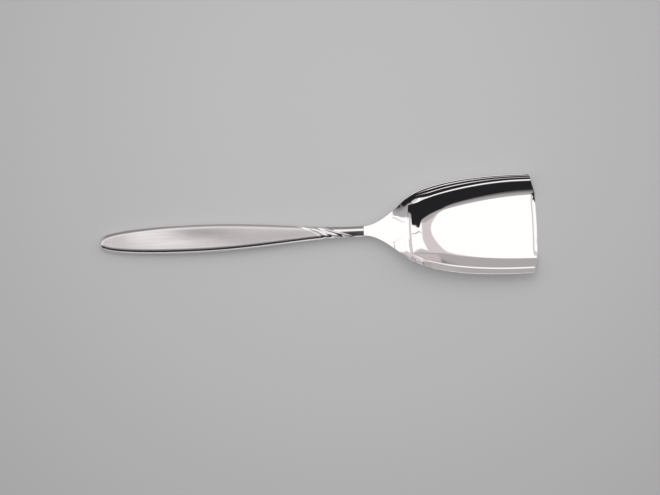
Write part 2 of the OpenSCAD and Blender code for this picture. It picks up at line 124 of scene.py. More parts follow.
def linear(hex_colour: str) -> tuple[float, float, float, float]:
    """Turn an sRGB hex colour into linear RGBA.

    Args:
        hex_colour: Six hex digits, with or without a leading hash.

    Returns:
        Linear red, green, blue and an alpha of 1.
    """
    digits = hex_colour.lstrip("#")
    parts = [int(digits[i:i + 2], 16) / 255 for i in (0, 2, 4)]
    red, green, blue = (c / 12.92 if c <= 0.04045 else ((c + 0.055) / 1.055) ** 2.4 for c in parts)
    return red, green, blue, 1.0


def add_node(tree: bpy.types.NodeTree, kind: str, inputs: dict[Any, Any],
             **settings: Any) -> bpy.types.Node:
    """Add a shader node with its settings, values and links.

    Args:
        tree: Tree that takes the node.
        kind: Blender's name of the node type.
        inputs: Socket name or number to a value, or to the output socket that feeds it.
        settings: Properties of the node.

    Returns:
        The new node.
    """
    node = tree.nodes.new(kind)
    for name, value in settings.items():
        setattr(node, name, value)
    for socket, value in inputs.items():
        if isinstance(value, bpy.types.NodeSocket):
            tree.links.new(value, node.inputs[socket])
        else:
            node.inputs[socket].default_value = value
    return node


def new_material(name: str) -> tuple[bpy.types.Material, bpy.types.NodeTree, bpy.types.Node]:
    """Make an empty node material.

    Args:
        name: Name of the real material.

    Returns:
        The material, its tree and its principled shader, which feeds the output.
    """
    material = bpy.data.materials.new(name)
    material.use_nodes = True
    tree = material.node_tree
    tree.nodes.clear()
    shader = add_node(tree, "ShaderNodeBsdfPrincipled", {})
    add_node(tree, "ShaderNodeOutputMaterial", {"Surface": shader.outputs["BSDF"]})
    return material, tree, shader


def wrap_grid(name: str, rings: Sequence[Ring], sharp_deg: float = 40) -> bpy.types.Object:
    """Wrap a grid primitive into a closed skin through rings of points.

    Each ring is closed, and the first and the last ring fold flat onto themselves, so that merging
    the points that meet closes the skin all over.

    Args:
        name: Name of the piece.
        rings: Rings of equal point counts, in millimetres.
        sharp_deg: Edges that turn by more than this stay sharp.

    Returns:
        The piece at the origin, with its place in its mesh.
    """
    bpy.ops.object.select_all(action="DESELECT")
    around = len(rings[0])
    bpy.ops.mesh.primitive_grid_add(
        x_subdivisions=around, y_subdivisions=len(rings) - 1, size=1)
    piece = bpy.context.active_object
    piece.name = name
    piece.data.name = name
    flat = [c * MM for ring in rings for p in (*ring, ring[0]) for c in p]
    piece.data.vertices.foreach_set("co", flat)
    bpy.ops.object.mode_set(mode="EDIT")
    bpy.ops.mesh.select_all(action="SELECT")
    bpy.ops.mesh.remove_doubles(threshold=MERGE_MM * MM)
    bpy.ops.mesh.dissolve_degenerate(threshold=MERGE_MM * MM)
    bpy.ops.mesh.normals_make_consistent(inside=False)
    bpy.ops.object.mode_set(mode="OBJECT")
    bpy.ops.object.shade_smooth_by_angle(angle=math.radians(sharp_deg))
    return piece


def settle(piece: bpy.types.Object, slot: Slot, *nodes: Node) -> None:
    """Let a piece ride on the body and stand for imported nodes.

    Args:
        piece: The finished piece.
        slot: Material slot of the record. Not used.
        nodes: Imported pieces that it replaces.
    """
    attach(piece, "root")
    if nodes:
        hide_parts(*(node.value for node in nodes))
    LOG.info("%s: %d faces", piece.name, len(piece.data.polygons))


def put_material(piece: bpy.types.Object, material: bpy.types.Material) -> None:
    """Give a piece one material all over."""
    piece.data.materials.clear()
    piece.data.materials.append(material)


@dataclass(frozen=True)
class MirrorSteel:
    """Stainless steel, buffed to a mirror on a soft wheel.

    The eye sees crisp reflections, very slightly wavy, with a faint haze and hairlines from use.
    """

    colour: str = "#EDEBEA"
    roughness: Pair = (0.025, 0.065)
    haze_mm: float = 6.0
    hairline_mm: float = 0.9
    hairline_length_mm: float = 11.25
    wear: Pair = (0.12, 0.42)
    wave_mm: float = 9.0
    wave_depth_mm: float = 0.004

    def material(self) -> bpy.types.Material:
        """Build the mirror steel's nodes.

        Returns:
            The material.
        """
        material, tree, shader = new_material("mirror_polished_stainless_steel")
        place = add_node(tree, "ShaderNodeTexCoord", {})
        haze = add_node(tree, "ShaderNodeTexNoise", {
            "Vector": place.outputs["Object"], "Scale": 1 / (self.haze_mm * MM), "Detail": 4.0})
        along = self.hairline_mm / self.hairline_length_mm
        stretch = add_node(tree, "ShaderNodeMapping", {
            "Vector": place.outputs["Object"], "Scale": (along, 1.0, 1.0)})
        hairlines = add_node(tree, "ShaderNodeTexNoise", {
            "Vector": stretch.outputs["Vector"], "Scale": 1 / (self.hairline_mm * MM),
            "Detail": 3.0})
        worn = add_node(tree, "ShaderNodeMath", {
            0: haze.outputs["Fac"], 1: hairlines.outputs["Fac"]}, operation="MULTIPLY")
        roughness = add_node(tree, "ShaderNodeMapRange", {
            "Value": worn.outputs[0], "From Min": self.wear[0], "From Max": self.wear[1],
            "To Min": self.roughness[0], "To Max": self.roughness[1]})
        wave = add_node(tree, "ShaderNodeTexNoise", {
            "Vector": place.outputs["Object"], "Scale": 1 / (self.wave_mm * MM), "Detail": 1.0})
        bump = add_node(tree, "ShaderNodeBump", {
            "Height": wave.outputs["Fac"], "Strength": 1.0,
            "Distance": self.wave_depth_mm * MM})
        shader.inputs["Base Color"].default_value = linear(self.colour)
        shader.inputs["Metallic"].default_value = 1.0
        tree.links.new(roughness.outputs["Result"], shader.inputs["Roughness"])
        tree.links.new(bump.outputs["Normal"], shader.inputs["Normal"])
        return material


@dataclass(frozen=True)
class SatinSteel:
    """Stainless steel, brushed along the handle on its face and polished on its edges and ridges.

    The eye sees a soft sheen with fine streaks along the handle, inside a bright narrow border.
    Real brushing is about 0.05 mm wide, too fine to show, so the streaks are drawn coarser.
    """

    polished: str = "#E6E3E3"
    satin: str = "#D0CACB"
    streak: str = "#C2BCBD"
    polished_roughness: float = 0.08
    satin_roughness: Pair = (0.12, 0.17)
    brushing: float = 0.95
    streak_mm: float = 0.45
    streak_length_mm: float = 14.0
    streak_height_mm: float = 1.5
    streak_depth_mm: float = 0.010
    streak_strength: float = 0.6
    streak_grit: float = 0.65
    streak_range: Pair = (0.3, 0.7)
    mask: str = "satin"

    def material(self) -> bpy.types.Material:
        """Build the handle steel's nodes, with the satin face where the piece's mask is 1.

        Returns:
            The material.
        """
        material, tree, shader = new_material("brushed_stainless_steel")
        place = add_node(tree, "ShaderNodeTexCoord", {})
        mask = add_node(tree, "ShaderNodeAttribute", {}, attribute_name=self.mask)
        along = self.streak_mm / self.streak_length_mm
        upward = self.streak_mm / self.streak_height_mm
        stretch = add_node(tree, "ShaderNodeMapping", {
            "Vector": place.outputs["Object"], "Scale": (along, 1.0, upward)})
        streaks = add_node(tree, "ShaderNodeTexNoise", {
            "Vector": stretch.outputs["Vector"], "Scale": 1 / (self.streak_mm * MM),
            "Detail": 5.0, "Roughness": self.streak_grit})
        brushed = add_node(tree, "ShaderNodeMix", {
            "Factor": streaks.outputs["Fac"], "A": linear(self.satin),
            "B": linear(self.streak)}, data_type="RGBA")
        colour = add_node(tree, "ShaderNodeMix", {
            "Factor": mask.outputs["Fac"], "A": linear(self.polished),
            "B": brushed.outputs["Result"]}, data_type="RGBA")
        satin = add_node(tree, "ShaderNodeMapRange", {
            "Value": streaks.outputs["Fac"],
            "From Min": self.streak_range[0], "From Max": self.streak_range[1],
            "To Min": self.satin_roughness[0], "To Max": self.satin_roughness[1]})
        roughness = add_node(tree, "ShaderNodeMix", {
            "Factor": mask.outputs["Fac"], "A": self.polished_roughness,
            "B": satin.outputs["Result"]})
        height = add_node(tree, "ShaderNodeMath", {
            0: streaks.outputs["Fac"], 1: mask.outputs["Fac"]}, operation="MULTIPLY")
        bump = add_node(tree, "ShaderNodeBump", {
            "Height": height.outputs[0], "Strength": self.streak_strength,
            "Distance": self.streak_depth_mm * MM})
        across = add_node(tree, "ShaderNodeTangent", {}, direction_type="RADIAL", axis="X")
        shader.inputs["Metallic"].default_value = 1.0
        shader.inputs["Anisotropic"].default_value = self.brushing
        tree.links.new(across.outputs["Tangent"], shader.inputs["Tangent"])
        tree.links.new(colour.outputs["Result"], shader.inputs["Base Color"])
        tree.links.new(roughness.outputs["Result"], shader.inputs["Roughness"])
        tree.links.new(bump.outputs["Normal"], shader.inputs["Normal"])
        return material


@dataclass(frozen=True)
class Solder:
    """Tin and silver solder, filed and polished flush, a little duller and greyer than steel."""

    bright: str = "#C9C6C1"
    dull: str = "#A9A6A1"
    roughness: Pair = (0.22, 0.38)
    grain_mm: float = 0.6

    def material(self) -> bpy.types.Material:
        """Build the solder's nodes.

        Returns:
            The material.
        """
        material, tree, shader = new_material("polished_tin_solder")
        place = add_node(tree, "ShaderNodeTexCoord", {})
        grain = add_node(tree, "ShaderNodeTexNoise", {
            "Vector": place.outputs["Object"], "Scale": 1 / (self.grain_mm * MM), "Detail": 4.0})
        colour = add_node(tree, "ShaderNodeMix", {
            "Factor": grain.outputs["Fac"], "A": linear(self.bright), "B": linear(self.dull)},
            data_type="RGBA")
        roughness = add_node(tree, "ShaderNodeMapRange", {
            "Value": grain.outputs["Fac"],
            "To Min": self.roughness[0], "To Max": self.roughness[1]})
        shader.inputs["Metallic"].default_value = 1.0
        tree.links.new(colour.outputs["Result"], shader.inputs["Base Color"])
        tree.links.new(roughness.outputs["Result"], shader.inputs["Roughness"])
        return material


@dataclass(frozen=True)
class FillerCement:
    """Grey-brown handle cement, set hard, dull and grainy like fine sand."""

    light: str = "#9A8D7C"
    dark: str = "#6F6456"
    roughness: float = 0.85
    grain_mm: float = 0.4
    grain_depth_mm: float = 0.04
    grain_strength: float = 0.5

    def material(self) -> bpy.types.Material:
        """Build the cement's nodes.

        Returns:
            The material.
        """
        material, tree, shader = new_material("handle_cement")
        place = add_node(tree, "ShaderNodeTexCoord", {})
        grain = add_node(tree, "ShaderNodeTexNoise", {
            "Vector": place.outputs["Object"], "Scale": 1 / (self.grain_mm * MM), "Detail": 6.0})
        colour = add_node(tree, "ShaderNodeMix", {
            "Factor": grain.outputs["Fac"], "A": linear(self.dark), "B": linear(self.light)},
            data_type="RGBA")
        bump = add_node(tree, "ShaderNodeBump", {
            "Height": grain.outputs["Fac"], "Strength": self.grain_strength,
            "Distance": self.grain_depth_mm * MM})
        shader.inputs["Roughness"].default_value = self.roughness
        tree.links.new(colour.outputs["Result"], shader.inputs["Base Color"])
        tree.links.new(bump.outputs["Normal"], shader.inputs["Normal"])
        return material


@dataclass
class HollowHandle:
    """The two pressed half shells of the handle.

    The front has a crowned face inside bevelled edges, and slanted ridges where it narrows to a
    faceted neck. A value for two edges goes from the near one to the far one, and a size at three
    places goes from the tail over the widest place to the mouth.
    """

    length: float = 90.5
    half: float = 4.8
    widest_x: float = 32.0
    front: Sizes = (1.3, 1.7, 1.7)
    back: Sizes = (0.8, 2.0, 1.5)
    width_power: float = 0.34
    height_power: float = 0.5
    waist_power: float = 1.15
    neck_straight: float = 4.5
    tail_end: float = 0.5
    tip_round: float = 0.35
    tail_rest: float = 10.0
    mouth_seam: float = 3.0
    neck_half: float = 1.85
    wall: float = 0.5
    tail_solid: float = 1.8
    solder_gap: float = 0.1
    ridge_count: int = 3
    ridge_pitch: float = 3.6
    ridge_notch: float = 1.2
    ridge_width: float = 3.4
    ridge_height: float = 0.18
    ridge_sweep: float = 12.0
    ridge_bow: float = 0.9
    ridge_slack: float = 0.1
    ridge_clear: float = 4.1
    ridge_fade: float = 0.8
    crown: float = 0.3
    edge_bevel: float = 0.4
    tail_bevel: float = 1.1
    tip_bevel: float = 0.95
    tip_slope: float = 30.0
    bevel_length: float = 30.0
    bevel_slopes: Pair = (45.0, 38.0)
    edge_round: float = 2.0
    tail_round: float = 0.6
    facets: Pair = (1.95, 0.8)
    facet_slopes: Pair = (26.0, 42.0)
    facet_rounds: Pair = (0.3, 1.35)
    facet_start: float = 1.0
    facet_blend: float = 2.5
    soft_meet: float = 0.06
    rim_round: float = 0.12
    slant_step: float = 0.05
    slant_limit: float = 3.0
    border: float = 0.4
    border_blend: float = 0.12
    brushing_blend: float = 0.2
    ridge_border: float = 0.7
    hollow_power: float = 2.6
    neck_hollow_power: float = 1.5
    keel_x: float = 66.0
    keel_length: float = 18.0
    back_power: float = 2.2
    side_count: int = 28
    side_crowding: float = 1.5
    tip_length: float = 7.0
    tip_count: int = 30
    tip_crowding: float = 2.4
    plain_step: float = 0.8
    fine_step: float = 0.2
    fine_margin: float = 2.0

    def __post_init__(self) -> None:
        """Work out the places along the handle."""
        self.joint_x = self.length - self.solder_gap
        self.ridge_end = self.length - self.ridge_clear
        self.mouth_lift = self.mouth_seam - self.back[2]

    def tip_share(self, x: float) -> float:
        """Share of its size that the handle has in the round of its tip."""
        return math.sqrt(1 - (1 - clamp(x / self.tip_round)) ** 2)

    def size_at(self, x: float, sizes: Sizes, power: float) -> float:
        """Follow a size along the handle.

        Args:
            x: Distance from the tail.
            sizes: The size at the tail, the widest place and the mouth.
            power: How bluntly the size sets in at the tail.

        Returns:
            The size there.
        """
        tail, widest, mouth = sizes
        if x < self.widest_x:
            away = (self.widest_x - x) / self.widest_x
            return self.tip_share(x) * mix(tail, widest, max(0.0, 1 - away * away) ** power)
        waist = (x - self.widest_x) / (self.length - self.neck_straight - self.widest_x)
        return mix(widest, mouth, smooth(waist ** self.waist_power))

    def half_at(self, x: float) -> float:
        """Half width at a distance from the tail."""
        return self.size_at(x, (self.tail_end, self.half, self.neck_half), self.width_power)

    def front_at(self, x: float) -> float:
        """Height of the front shell over the seam."""
        return self.size_at(x, self.front, self.height_power)

    def back_at(self, x: float) -> float:
        """Depth of the back shell under the seam."""
        return self.size_at(x, self.back, self.height_power)

    def seam_at(self, x: float) -> float:
        """Find the height of the seam over the table.

        Args:
            x: Distance from the tail.

        Returns:
            The height, which doesn't drop in the round of the tip.
        """
        tail, widest, _ = self.back
        depth = self.back_at(x)
        if x < self.widest_x:
            away = (self.widest_x - x) / self.widest_x
            depth = mix(tail, widest, math.sqrt(max(0.0, 1 - away * away)))
        lifted = smooth((x - self.tail_rest) / (self.length - self.tail_rest))
        return depth + self.mouth_lift * lifted

    def keel_share(self, x: float) -> float:
        """How far the hollow has narrowed towards the neck."""
        return smooth((x - self.keel_x) / self.keel_length)

    def across_share(self, x: float, y: float) -> float:
        """Share of the way from the near edge to the far edge."""
        return clamp((y / max(self.half_at(x), THIN_MM) + 1) / 2)

    def slant_at(self, x: float) -> float:
        """Slant of the outline, which stretches a border's width across the handle.

        Args:
            x: Distance from the tail.

        Returns:
            Length along the outline for each length along the handle.
        """
        behind, ahead = max(0.0, x - self.slant_step), x + self.slant_step
        rise = (self.half_at(ahead) - self.half_at(behind)) / (2 * self.slant_step)
        return min(self.slant_limit, math.hypot(1, rise))

    def bevel_at(self, x: float, side: int) -> float:
        """Width of the bevel along the near (0) or the far (1) edge."""
        start = self.tail_bevel if side else self.edge_bevel
        return mix(start, self.edge_bevel, smooth(x / self.bevel_length))

    def drop(self, inset: float, bevel: float, slope_deg: float, radius: float) -> float:
        """How far the front lies under its face at a distance from an edge: a bevel, then a round.

        Args:
            inset: Distance from the edge.
            bevel: Width of the bevel.
            slope_deg: Slope of the bevel.
            radius: Radius of the round between the bevel and the face.

        Returns:
            Height under the face.
        """
        slope = math.radians(slope_deg)
        left = radius * math.sin(slope) - max(0.0, inset - bevel)
        rounded = radius - math.sqrt(radius * radius - left * left) if left > 0 else 0.0
        return rounded + max(0.0, bevel - inset) * math.tan(slope)

    def edge_drops(self, x: float, insets: Sequence[float], facet: float) -> list[float]:
        """How far each edge and the tip pull the front under its face.

        Args:
            x: Distance from the tail.
            insets: Distances from the near and the far edge.
            facet: Share by which the edges have become the facets of the neck.

        Returns:
            Heights under the face for the near edge, the far edge and the tip.
        """
        grown = smooth(x / self.bevel_length)
        rounds = (self.edge_round, mix(self.tail_round, self.edge_round, grown))
        drops = [self.drop(insets[k], mix(self.bevel_at(x, k), self.facets[k], facet),
                           mix(self.bevel_slopes[k], self.facet_slopes[k], facet),
                           mix(rounds[k], self.facet_rounds[k], facet)) for k in (0, 1)]
        rim = max(0.0, self.edge_bevel - insets[0])
        steep, flat = (math.tan(math.radians(slopes[0]))
                       for slopes in (self.bevel_slopes, self.facet_slopes))
        drops[0] += facet * rim * (steep - flat)
        return drops + [self.drop(x, self.tip_bevel, self.tip_slope, self.tail_round)]

    def front_z(self, x: float, y: float) -> float:
        """Find the height of the front's face over the seam.

        Args:
            x: Distance from the tail.
            y: Distance from the middle line.

        Returns:
            The height, with edges, facets, crown and ridges.
        """
        half, slant = max(self.half_at(x), THIN_MM), self.slant_at(x)
        start = self.ridge_line(0, self.across_share(x, y)) - self.facet_start
        facet = smooth((x - start) / self.facet_blend)
        insets = [max(0.0, half + way * y) / slant for way in (1, -1)]
        low, *others = self.edge_drops(x, insets, facet)
        for other in others:
            low = (low + other + math.hypot(low - other, self.soft_meet)) / 2
        turn = max(0.0, self.rim_round - min(insets))
        low += self.rim_round - math.sqrt(self.rim_round ** 2 - turn * turn)
        crown = self.crown * (1 - facet) * (half / self.half) ** 2
        ridge = self.ridge_at(x, y) * math.sqrt(clamp(min(insets) / self.ridge_fade))
        return max(0.0, self.front_at(x) - crown * (y / half) ** 2 - low) + ridge

    def ridge_line(self, k: int, across: float) -> float:
        """Find where a ridge runs.

        Args:
            k: Number of the ridge, from the one next to the neck.
            across: Share of the way from the near edge to the far edge.

        Returns:
            Distance from the tail.
        """
        last = k == self.ridge_count - 1
        curved = 1 - math.sqrt(1 - across * across)
        bow = mix(across, curved, self.ridge_bow if last else self.ridge_slack)
        notch = self.ridge_notch if last else 0.0
        return self.ridge_end - k * self.ridge_pitch - notch - self.ridge_sweep * bow

    def ridge_at(self, x: float, y: float) -> float:
        """Find the height that the slanted ridges add to the front.

        Args:
            x: Distance from the tail.
            y: Distance from the middle line.

        Returns:
            The added height.
        """
        across = self.across_share(x, y)
        best = 0.0
        for k in range(self.ridge_count):
            t = (x - self.ridge_line(k, across)) / (self.ridge_width / 2)
            if abs(t) < 1:
                best = max(best, math.cos(math.pi / 2 * t) ** 2)
        return self.ridge_height * best

    def oval(self, half: float, height: float, power: float) -> list[Pair]:
        """Draw an arc over the handle.

        Args:
            half: Half width.
            height: Height in the middle.
            power: 2 for an ellipse, more for a fuller arc.

        Returns:
            Widths and heights from the near edge to the far edge.
        """
        line = []
        count = 2 * self.side_count + 2
        for i in range(count + 1):
            a = math.pi * i / count
            c, s = math.cos(a), max(0.0, math.sin(a))
            y = -half * math.copysign(abs(c) ** (2 / power), c)
            line.append((y, height * s ** (2 / power)))
        return line

    def hollow_share(self, x: float) -> float:
        """Share of its height that the hollow has, from none in the solid tail."""
        return math.sqrt(clamp((x - self.tail_solid) / self.tail_solid))

    def hollow_half(self, x: float) -> float:
        """Half width of the hollow."""
        return max(self.half_at(x) / 2, self.half_at(x) - self.wall)

    def front_ring(self, x: float, close: bool = False) -> Ring:
        """Draw one closed section of the front shell.

        Args:
            x: Distance from the tail.
            close: Fold the section flat, to close the shell's end.

        Returns:
            The outer face from the near to the far edge, then the inner face back.
        """
        half, seam = self.half_at(x), self.seam_at(x) + self.solder_gap / 2
        hollow = (self.front_at(x) - self.wall) * self.hollow_share(x)
        power = mix(self.hollow_power, self.neck_hollow_power, self.keel_share(x))
        side = [half * (1 - t ** self.side_crowding) for t in shares(self.side_count + 1)]
        across = [-y for y in side] + side[-2::-1]
        place, tip = x - CENTRE_X, self.tip_share(x)
        face = [(place, y, seam + tip * self.front_z(x, y)) for y in across]
        outer = [(place, -half, seam)] + face + [(place, half, seam)]
        arc = self.oval(self.hollow_half(x), hollow, power)
        inner = [(place, y, seam + z) for y, z in arc]
        return (inner if close else outer) + inner[::-1]

    def back_ring(self, x: float, close: bool = False) -> Ring:
        """Draw one closed section of the back shell.

        Args:
            x: Distance from the tail.
            close: Fold the section flat, to close the shell's end.

        Returns:
            The outer face from the near to the far edge, then the inner face back.
        """
        depth, seam = self.back_at(x), self.seam_at(x) - self.solder_gap / 2
        lower = max(0.0, depth - self.solder_gap / 2)
        hollow = (depth - self.wall) * self.hollow_share(x)
        outer, inner = (
            [(x - CENTRE_X, y, seam - z) for y, z in self.oval(half, height, self.back_power)]
            for half, height in ((self.half_at(x), lower), (self.hollow_half(x), hollow)))
        return (inner if close else outer) + inner[::-1]

    def places(self, fine: bool) -> list[float]:
        """Choose the places of the sections.

        Args:
            fine: Whether they lie close together over the ridges.

        Returns:
            Distances from the tail, close together round the tip.
        """
        tip = [self.tip_length * t ** self.tip_crowding for t in shares(self.tip_count + 1)]
        start = self.ridge_line(self.ridge_count - 1, 1.0) - self.ridge_width / 2
        end = self.ridge_end + self.fine_margin
        return (tip + spread(self.tip_length, start, self.plain_step)
                + spread(start, end, self.fine_step if fine else self.plain_step)
                + spread(end, self.joint_x, self.plain_step))

    def build_front(self) -> bpy.types.Object:
        """Wrap the front shell, with its ridges."""
        rings = [self.front_ring(x) for x in self.places(fine=True)]
        return wrap_grid("handle_front_brushed", rings + [self.front_ring(self.joint_x, True)])

    def build_back(self) -> bpy.types.Object:
        """Wrap the plain back shell."""
        rings = [self.back_ring(x) for x in self.places(fine=False)]
        return wrap_grid("handle_back_brushed", rings + [self.back_ring(self.joint_x, True)])

    def satin_share(self, x: float, y: float) -> float:
        """How brushed the handle is at a place.

        Args:
            x: Distance from the tail.
            y: Distance from the middle line.

        Returns:
            1 on the face, 0 on the polished border, tip, ridges and neck.
        """
        half = max(self.half_at(x), THIN_MM)
        inset = (half - abs(y)) / self.slant_at(x)
        side = inset - self.bevel_at(x, int(y > 0)) - self.border
        tip = x - self.tip_bevel - self.border
        first = self.ridge_line(self.ridge_count - 1, self.across_share(x, y))
        ridge = first - self.ridge_border * self.ridge_width - x
        return (clamp(side / self.border_blend) * clamp(tip / self.brushing_blend)
                * clamp(ridge / self.brushing_blend))

    def dress(self, piece: bpy.types.Object, material: bpy.types.Material, mask: str) -> None:
        """Brush a shell's face and polish its border.

        Args:
            piece: The shell.
            material: The handle's steel.
            mask: Name of the attribute that tells the steel where it is brushed.
        """
        put_material(piece, material)
        brushed = piece.data.attributes.new(mask, "FLOAT", "POINT")
        brushed.data.foreach_set("value", [
            self.satin_share(v.co.x / MM + CENTRE_X, v.co.y / MM) for v in piece.data.vertices])


@dataclass(frozen=True)
class Curve:
    """A press tool's wall in section: a hollow arc from the floor, a flank, a rounded brink."""

    run: float
    rise: float
    hollow_radius: float
    brink_radius: float

    def flank_slope(self) -> float:
        """Work out the slope of the straight flank.

        Returns:
            The slope in radians.
        """
        radii = self.hollow_radius + self.brink_radius
        length = math.sqrt(max(0.0, self.run ** 2 + self.rise ** 2 - 2 * radii * self.rise))
        return math.atan2(self.rise - radii, self.run) + math.atan2(radii, length)

    def run_at(self, z: float, depth: float = 0.0) -> float:
        """Run from the floor at which the wall reaches a height.

        Args:
            z: Height above the floor's face.
            depth: Distance under the face.

        Returns:
            Run from the start of the hollow.
        """
        slope = self.flank_slope()
        r, b = self.hollow_radius + depth, self.brink_radius - depth
        flank_z = self.hollow_radius - r * math.cos(slope)
        brink_z = self.rise - self.brink_radius + b * math.cos(slope)
        if z < flank_z:
            return math.sqrt(max(0.0, r * r - (self.hollow_radius - z) ** 2))
        if z < brink_z or b <= 0:
            return r * math.sin(slope) + (z - flank_z) / math.tan(slope)
        up = min(b, z - self.rise + self.brink_radius)
        return self.run - math.sqrt(b * b - up * up)

    def height(self, x: float, depth: float = 0.0) -> float:
        """Height of the wall at a run from its floor, sunk by a depth below its face.

        Args:
            x: Run from the start of the hollow.
            depth: Distance under the face.

        Returns:
            Height above the floor's face.
        """
        slope = self.flank_slope()
        r, b = self.hollow_radius + depth, self.brink_radius - depth
        flank_start = r * math.sin(slope)
        flank_end = self.run - b * math.sin(slope)
        if x <= 0:
            return -depth
        if x < flank_start:
            return self.hollow_radius - math.sqrt(r * r - x * x)
        if x < flank_end:
            flank_z = self.hollow_radius - r * math.cos(slope)
            return flank_z + (x - flank_start) * math.tan(slope)
        if x < self.run:
            return self.rise - self.brink_radius + math.sqrt(b * b - (self.run - x) ** 2)
        return self.rise - depth


@dataclass(frozen=True)
class Rim:
    """One side's rim: its ledge, how far its brink is drawn in and its ledge is wider at the back.

    The treads are the share by which the fine treads on its ramp lie flat.
    """

    ledge: float
    inward: float
    wider: float
    treads: float


@dataclass(frozen=True)
class Station:
    """One place along a side of the scoop: distance, half width, slant and the rim there."""

    x: float
    half: float
    slant: float
    inward: float = 0.0
    ledge: float = 0.0
    treads: float = 0.0


@dataclass
class ScoopBowl:
    """The pressed scoop with its flared neck and its tang.

    Each station along the scoop has a section, worked out for each side from the middle to the rim.
    """

    handle: HollowHandle = field(default_factory=HollowHandle)
    neck_length: float = 15.1
    neck_straight: float = 4.0
    neck_thickness: float = 2.6
    neck_fade: int = 4
    scoop_length: float = 44.4
    scoop_half: float = 17.2
    full_length: float = 4.0
    brink_height: float = 4.4
    side_lift_back: float = 0.6
    side_lift_lip: float = -0.3
    lift_blend: float = 14.0
    dish_radius: float = 11.0
    dish_start: float = 0.4
    dish_slant: float = 0.64
    dish_limit: float = 1.5
    dish_soft: float = 2.0
    dish_wall: float = 5.5
    dish_blend: float = 8.0
    sheet: float = 1.2
    wall_run: float = 6.2
    lip_run: float = 5.3
    narrow_start: float = 5.0
    corner_run: float = 7.8
    corner_length: float = 16.0
    wall_hollow: float = 5.5
    wall_brink: float = 0.35
    back_run: float = 9.2
    back_hollow: float = 11.0
    back_brink: float = 2.4
    floor_corner: float = 7.5
    brink_corner: float = 0.05
    floor_level: float = 0.04
    neck_floor: float = 0.35
    rim_width: float = 2.3
    rim_rise: float = 1.1
    rim_edge: float = 0.7
    rim_corner: float = 1.2
    rim_lead: float = 1.0
    rim_blend: float = 5.0
    near_rim: Rim = Rim(ledge=0.25, inward=0.3, wider=1.5, treads=0.0)
    far_rim: Rim = Rim(ledge=0.45, inward=1.2, wider=1.2, treads=0.9)
    inward_start: float = 113.0
    inward_length: float = 33.0
    wider_start: float = 2.0
    wider_length: float = 6.0
    tread_starts: Pair = (0.38, 0.74)
    tread_width: float = 0.1
    lip_bulge: float = 0.9
    lip_lean: float = 1.6
    lip_bevel: float = 1.3
    lip_round: float = 0.1
    bevel_share: float = 0.8
    bevel_fade: int = 5
    tang_length: float = 36.0
    tang_width: float = 1.9
    tang_height: float = 1.5
    tang_taper: float = 0.4
    tang_step: float = 2.0
    tang_end: float = 0.001
    corner_back: float = 2.0
    corner_inset: float = 7.9
    corner_way: Pair = (4.5, 4.0)
    corner_pull: float = 1.11
    side_pull: float = 27.0
    flare_count: int = 48
    side_count: int = 110
    front_step: float = 0.6
    bevel_step: float = 0.3
    floor_count: int = 14
    wall_count: int = 30
    rim_count: int = 30
    edge_count: int = 5

    def __post_init__(self) -> None:
        """Work out the places along the scoop, its two wall curves and its stations."""
        self.mouth_x = self.handle.length
        self.brink_x = self.mouth_x + self.neck_length
        self.floor_x = self.brink_x + self.back_run
        self.lip_x = self.brink_x + self.scoop_length
        self.full_x = self.lip_x - self.full_length
        self.narrow_x = self.floor_x + self.narrow_start
        self.depth = self.brink_height - self.sheet
        self.side_wall = Curve(self.wall_run, self.depth, self.wall_hollow, self.wall_brink)
        self.back_wall = Curve(self.back_run, self.depth, self.back_hollow, self.back_brink)
        self.stations = self.place_stations()

    def place_stations(self) -> list[Station]:
        """Follow the plan outline from the mouth of the handle to the lip.

        Returns:
            Stations along the flare, the side and the stretch of full width behind the lip.
        """
        neck_half = self.handle.neck_half
        corner_x, corner_y = self.brink_x - self.corner_back, self.scoop_half - self.corner_inset
        way_x, way_y = self.corner_way
        flare = [(self.mouth_x, neck_half), (self.mouth_x + self.neck_straight, neck_half),
                 (corner_x - way_x, corner_y - way_y), (corner_x, corner_y)]
        side = [(corner_x, corner_y),
                (corner_x + self.corner_pull * way_x, corner_y + self.corner_pull * way_y),
                (self.full_x - self.side_pull, self.scoop_half), (self.full_x, self.scoop_half)]
        places = []
        for curve, count in ((flare, self.flare_count), (side, self.side_count)):
            for i in range(count):
                x, half = bezier(curve, i / count)
                ahead = bezier(curve, (i + 0.5) / count)
                run = ahead[0] - x
                places.append(Station(x, half, math.hypot(run, ahead[1] - half) / run))
        bevel_x = self.lip_x - self.lip_bevel
        front = [self.full_x] + spread(self.full_x, bevel_x, self.front_step)
        front += spread(bevel_x, self.lip_x - self.lip_round, self.bevel_step)
        return places + [Station(x, self.scoop_half, 1.0) for x in front]

    def brink_half(self, s: Station) -> float:
        """Half width from the middle line to the brink of a side wall."""
        return s.half - min((self.rim_width + s.inward) * s.slant, s.half / 2)

    def dish_edge(self, x: float, brink: float) -> float:
        """Half width inside which the neck and the floor stay flat.

        Args:
            x: Place along the scoop.
            brink: Half width to the brink there.

        Returns:
            The half width.
        """
        behind = self.brink_x - x
        neck = self.dish_slant * (behind + math.hypot(behind, self.dish_soft)) / 2
        ahead = smooth(-behind / self.dish_blend)
        return mix(self.dish_start + neck, brink - self.dish_wall, ahead)

    def side_lift(self, x: float, brink: float) -> float:
        """Height of the side walls' brink over the back wall's brink, which falls off to the lip.

        Args:
            x: Place along the scoop.
            brink: Half width to the brink there.

        Returns:
            The height.
        """
        dished = max(0.0, brink - self.dish_edge(x, brink)) ** 2 / (2 * self.dish_radius)
        dished = self.dish_limit * (1 - math.exp(-dished / self.dish_limit))
        ahead = x - self.brink_x
        lift = mix(self.side_lift_back, self.side_lift_lip, clamp(ahead / self.scoop_length))
        return mix(dished, lift, smooth(ahead / self.lift_blend))

